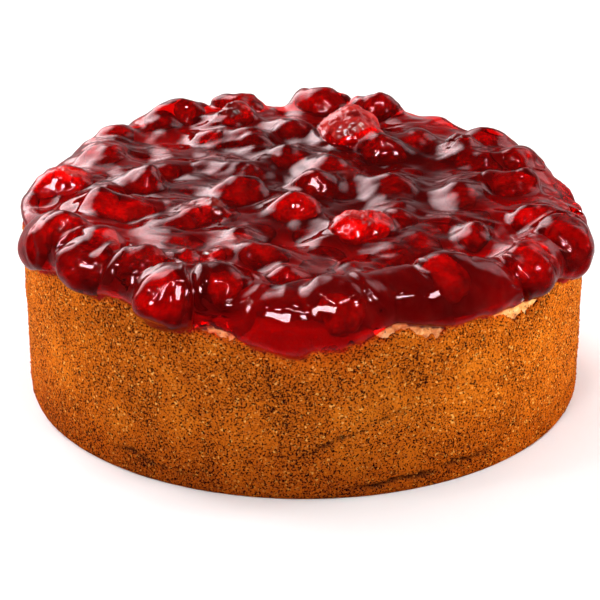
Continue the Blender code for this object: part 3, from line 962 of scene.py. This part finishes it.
jelly = {
    "seed": 3,
    "voxel": 0.00112,
    # lumps of plain jelly at the rim: angle, height, distance out, width, depth, tallness
    "lumps": [
        (-93.5, 0.0622, 0.0950, 0.033, 0.026, 0.017), (-108.0, 0.0715, 0.0930, 0.014, 0.020, 0.012),
        (-84.0, 0.0670, 0.0960, 0.024, 0.016, 0.012), (-74.0, 0.0702, 0.0925, 0.027, 0.021, 0.012),
        (-60.0, 0.0680, 0.0925, 0.038, 0.022, 0.010), (-51.0, 0.0650, 0.0940, 0.020, 0.016, 0.010),
        (-126.0, 0.0700, 0.0945, 0.020, 0.016, 0.012), (-20.0, 0.0620, 0.0955, 0.022, 0.014, 0.012),
        (-152.0, 0.0660, 0.0925, 0.024, 0.014, 0.013),
    ],
    # where it thins out towards the edge: angle, spread, how much
    "thin": [(8.0, 18.0, 0.0056), (-170.0, 14.0, 0.0020), (122.0, 16.0, 0.0024)],
    "thinFrom": 0.78,
    # the jelly over a berry
    "film": (0.0008, 0.0018),
    "sunkFilm": 0.0012,
    # softness of the fillets in the middle, and how much it grows towards the rim
    "fillet": (0.0026, 0.0016),
    "settle": (0.0004, 0.0010),
    "towardsRim": (0.078, 0.014),
    # between these distances a berry stops shaping the surface
    "fade": (0.0070, 0.0110),
    # the underside: margin round the crust, and how far it sinks into filling and crust
    "margin": 0.0009,
    "sink": 0.0007,
    "wallSink": 0.0012,
    "longestStep": 0.0016,
    # thickness in the middle, share that goes by the rim, waves, roundness of the edge
    "depth": 0.0104,
    "rimThinner": 0.22,
    "wave": 0.0010,
    "round": 0.0080,
    # folds and dents of the surface: strength of each pattern
    "ripple": {"streak": 0.0004, "crease": 0.0011, "swell": 0.0016, "lump": 0.0010},
    # colours of the streaks in it
    "tint": [(0.30, (0.780, 0.012, 0.014)), (0.52, (0.930, 0.030, 0.028)), (0.72, (1.0, 0.060, 0.045))],
    "gleam": (0.80, 0.46, 0.50),
    "absorb": (0.956, 0.0, 0.02),
    "density": 850.0,
}


def jellyMaterial():
    made, shader = newMaterial("clearJelly")
    where = addNode(made, "ShaderNodeTexCoord").outputs["Object"]
    swirl = textureAt(made, where, "Noise", Scale=90.0, Detail=4.0, Distortion=1.6)
    link(made, ramp(made, swirl.outputs["Fac"], jelly["tint"]), shader.inputs["Base Color"])
    shader.inputs["Transmission Weight"].default_value = 0.96
    shader.inputs["Specular Tint"].default_value = (*jelly["gleam"], 1.0)
    cloudy = textureAt(made, where, "Noise", Scale=160.0, Detail=3.0)
    film = ramp(made, cloudy.outputs["Fac"], [(0.35, 0.008), (0.70, 0.045)])
    link(made, film, shader.inputs["Roughness"])
    shader.inputs["IOR"].default_value = 1.34
    dimple = textureAt(made, where, "Noise", Scale=260.0, Detail=3.0, Distortion=0.8)
    addBump(made, shader, dimple.outputs["Fac"], (0.09, 0.0006))
    inside = addNode(made, "ShaderNodeVolumeAbsorption", Density=jelly["density"])
    inside.inputs["Color"].default_value = (*jelly["absorb"], 1.0)
    link(made, inside.outputs["Volume"], made.node_tree.nodes["Material Output"].inputs["Volume"])
    return made


def jellyTop(spots):
    radius, angle = polar(spots)
    share = np.minimum(radius / cake["radius"], 1.0)
    x, y = spots[:, 0], spots[:, 1]
    waves = np.sin(95.0 * x + 40.0 * y) * np.sin(110.0 * y - 30.0 * x + 0.7)
    thick = jelly["depth"] * (1.0 - jelly["rimThinner"] * share**4)
    thick = thick + jelly["wave"] * waves * np.minimum(1.0, 4.0 * share)
    outer = np.clip((share - jelly["thinFrom"]) / (1.0 - jelly["thinFrom"]), 0.0, 1.0)
    for place in jelly["thin"]:
        thick = thick - riseOf(angle, *place) * outer
    return rimTop(np.minimum(radius, cake["radius"]), angle) + thick


def slabField(spots):
    # distance to a thick disc whose edge is round and hangs lower at its lobes
    radius, angle = polar(spots)
    reach, drop = lobeAt(angle)
    top = jellyTop(spots)
    bottom = rimTop(cake["radius"], angle) - drop
    soft = np.minimum(jelly["round"], 0.48 * (top - bottom))
    out = radius - (cake["radius"] + reach - soft)
    up = np.maximum(spots[:, 2] - (top - soft), (bottom + soft) - spots[:, 2])
    beyond = np.hypot(np.maximum(out, 0.0), np.maximum(up, 0.0))
    return beyond + np.minimum(np.maximum(out, up), 0.0) - soft


def slopeOf(field, spots, value, step=0.0001):
    slope = np.empty_like(spots)
    for axis in range(3):
        moved = spots.copy()
        moved[:, axis] += step
        slope[:, axis] = (field(moved) - value) / step
    return slope


def nearField(spots, trees, film):
    # distance and slope to each berry or lump with its film, only where a point is near it
    found = []
    for name, (tree, low, high) in trees.items():
        around = jelly["fade"][1] + film[name] + 0.001
        near = np.all((spots > low - around) & (spots < high + around), axis=1)
        rows = np.nonzero(near)[0]
        gaps = np.empty(len(rows))
        slopes = np.empty((len(rows), 3))
        for i, row in enumerate(rows):
            here = Vector(spots[row])
            touch, normal, _, gap = tree.find_nearest(here)
            away = here - touch
            side = 1.0 if away.dot(normal) >= 0.0 else -1.0
            gaps[i] = side * gap - film[name]
            slopes[i] = (away * side / gap) if gap > 1e-7 else normal
        found.append((rows, gaps, slopes))
    return found


def meltTogether(piece, trees, film, ripple, rounds=3):
    # moves the surface to a soft union of slab, berries and lumps, which leaves a fillet round each
    spots = verts(piece)
    radius, angle = polar(spots)
    edge = rimTop(np.minimum(radius, cake["radius"]), angle)
    lift = bumpAt(np.minimum(radius, cake["radius"]), angle)
    # its lower part follows the short rises of the crust's edge
    spots[:, 2] += lift * np.clip((cake["height"] + 0.016 - spots[:, 2]) / 0.012, 0.0, 1.0)
    under = (radius < cake["radius"] + jelly["margin"]) & (spots[:, 2] < edge + jelly["margin"])
    free = ~under
    for _ in range(rounds):
        now = spots[free]
        start, length = jelly["towardsRim"]
        towardsRim = np.clip((np.hypot(now[:, 0], now[:, 1]) - start) / length, 0.0, 1.0)
        k = jelly["fillet"][0] + jelly["fillet"][1] * towardsRim
        settle = jelly["settle"][0] + jelly["settle"][1] * towardsRim
        slab = slabField(now)
        weight = np.exp(-(slab + settle) / k)
        slope = slopeOf(slabField, now, slab) * weight[:, None]
        for rows, gaps, slopes in nearField(now, trees, film):
            share = np.exp(-np.maximum(gaps, -0.012) / k[rows])
            near, far = jelly["fade"]
            share *= np.clip((far - gaps) / (far - near), 0.0, 1.0) ** 2
            weight[rows] += share
            slope[rows] += slopes * share[:, None]
        value = -k * np.log(weight) - ripple[free]
        slope /= weight[:, None]
        size = np.maximum((slope**2).sum(axis=1), 0.15)
        shift = np.clip(value / size, -jelly["longestStep"], jelly["longestStep"])
        spots[free] = now - slope * shift[:, None]
    # the hidden underside sinks a little into crust and filling, so that no air shows between them
    spots[under, 2] -= jelly["sink"]
    wall = under & (spots[:, 2] < edge - 0.0002)
    inward = (radius - jelly["wallSink"]) / np.maximum(radius, 1e-6)
    spots[wall, 0] *= inward[wall]
    spots[wall, 1] *= inward[wall]
    setVerts(piece, spots)


def rippleField(spots):
    # long folds that run across the cake, and small dents between them
    folds = np.empty(len(spots))
    strength = jelly["ripple"]
    for i, (x, y, z) in enumerate(spots):
        bend = 0.9 * noise.noise(Vector((x * 38.0, y * 38.0, 3.0)))
        streak = noise.noise(Vector((x * 30.0 + bend, y * 85.0 + 3.0 * bend, z * 60.0)))
        crease = 1.0 - abs(noise.noise(Vector((x * 45.0 - bend, y * 95.0 + 2.0 * bend, 9.0 + z * 40.0))))
        swell = noise.noise(Vector((x * 60.0, y * 60.0, 20.0 + z * 70.0)))
        lump = noise.noise(Vector((x, y, z)) * 105.0 + Vector((7.0, 0.0, 0.0)))
        folds[i] = strength["streak"] * streak + strength["crease"] * (crease - 0.8)
        folds[i] += strength["swell"] * swell + strength["lump"] * lump
    return folds


def makeJelly(berries, sunkPiece):
    slab = copyNode("strawberry_jelly", "strawberryJelly")
    parts = [slab]
    trees = {}
    film = {}
    dice = random.Random(jelly["seed"])
    for label, source in {**berries, "sunk": sunkPiece}.items():
        spots = verts(source)
        trees[label] = (treeOf(source), spots.min(axis=0), spots.max(axis=0))
        thick = berry["humps"].get(label, (1.0, dice.uniform(*jelly["film"])))[1]
        film[label] = -berry["bare"][label] if label in berry["bare"] else thick
        lump = source.copy()
        lump.data = source.data.copy()
        lump.parent = None
        bpy.context.scene.collection.objects.link(lump)
        push = lump.modifiers.new("film", "DISPLACE")
        push.mid_level = 0.0
        push.strength = film[label] if label in berry["bare"] else film[label] + 0.0004
        applyAll(lump)
        parts.append(lump)
    film["sunk"] = jelly["sunkFilm"]
    for angle, height, out, width, depth, tallness in jelly["lumps"]:
        deselectAll()
        bpy.ops.mesh.primitive_uv_sphere_add(segments=32, ring_count=20, radius=0.5)
        lump = bpy.context.object
        lump.scale = (depth, width, tallness)
        turn = math.radians(angle)
        lump.rotation_euler = (0.0, 0.0, turn)
        lump.location = (out * math.cos(turn), out * math.sin(turn), height)
        bakePlace(lump)
        spots = verts(lump)
        trees[f"lump{angle}"] = (treeOf(lump), spots.min(axis=0), spots.max(axis=0))
        film[f"lump{angle}"] = 0.0
        parts.append(lump)
    piece = joinAll(parts, "strawberryJelly")
    step = piece.modifiers.new("fused", "REMESH")
    step.mode = "VOXEL"
    step.voxel_size = jelly["voxel"]
    soften = piece.modifiers.new("soft", "SMOOTH")
    soften.factor = 0.5
    soften.iterations = 2
    applyAll(piece)
    print("jelly fused", len(piece.data.polygons))
    ripple = rippleField(verts(piece))
    meltTogether(piece, trees, film, ripple)
    relax = piece.modifiers.new("relax", "SMOOTH")
    relax.factor = 0.5
    relax.iterations = 2
    applyAll(piece)
    shadeSmooth(piece)
    piece.data.materials.clear()
    piece.data.materials.append(jellyMaterial())
    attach(piece, "root")
    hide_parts("strawberry_jelly")
    print("jelly made", len(piece.data.polygons))
    return piece


setCamera()
makeStudio()
crustPiece = makeCrust()
fillingPiece = makeFilling()
berries = makeBerries()
sunkPiece = makeSunkBerries(berries)
jellyTree = treeOf(makeJelly(berries, sunkPiece))
soakUnder(crustPiece, jellyTree)
soakUnder(fillingPiece, jellyTree)
makeCrumbs(crustPiece, jellyTree)
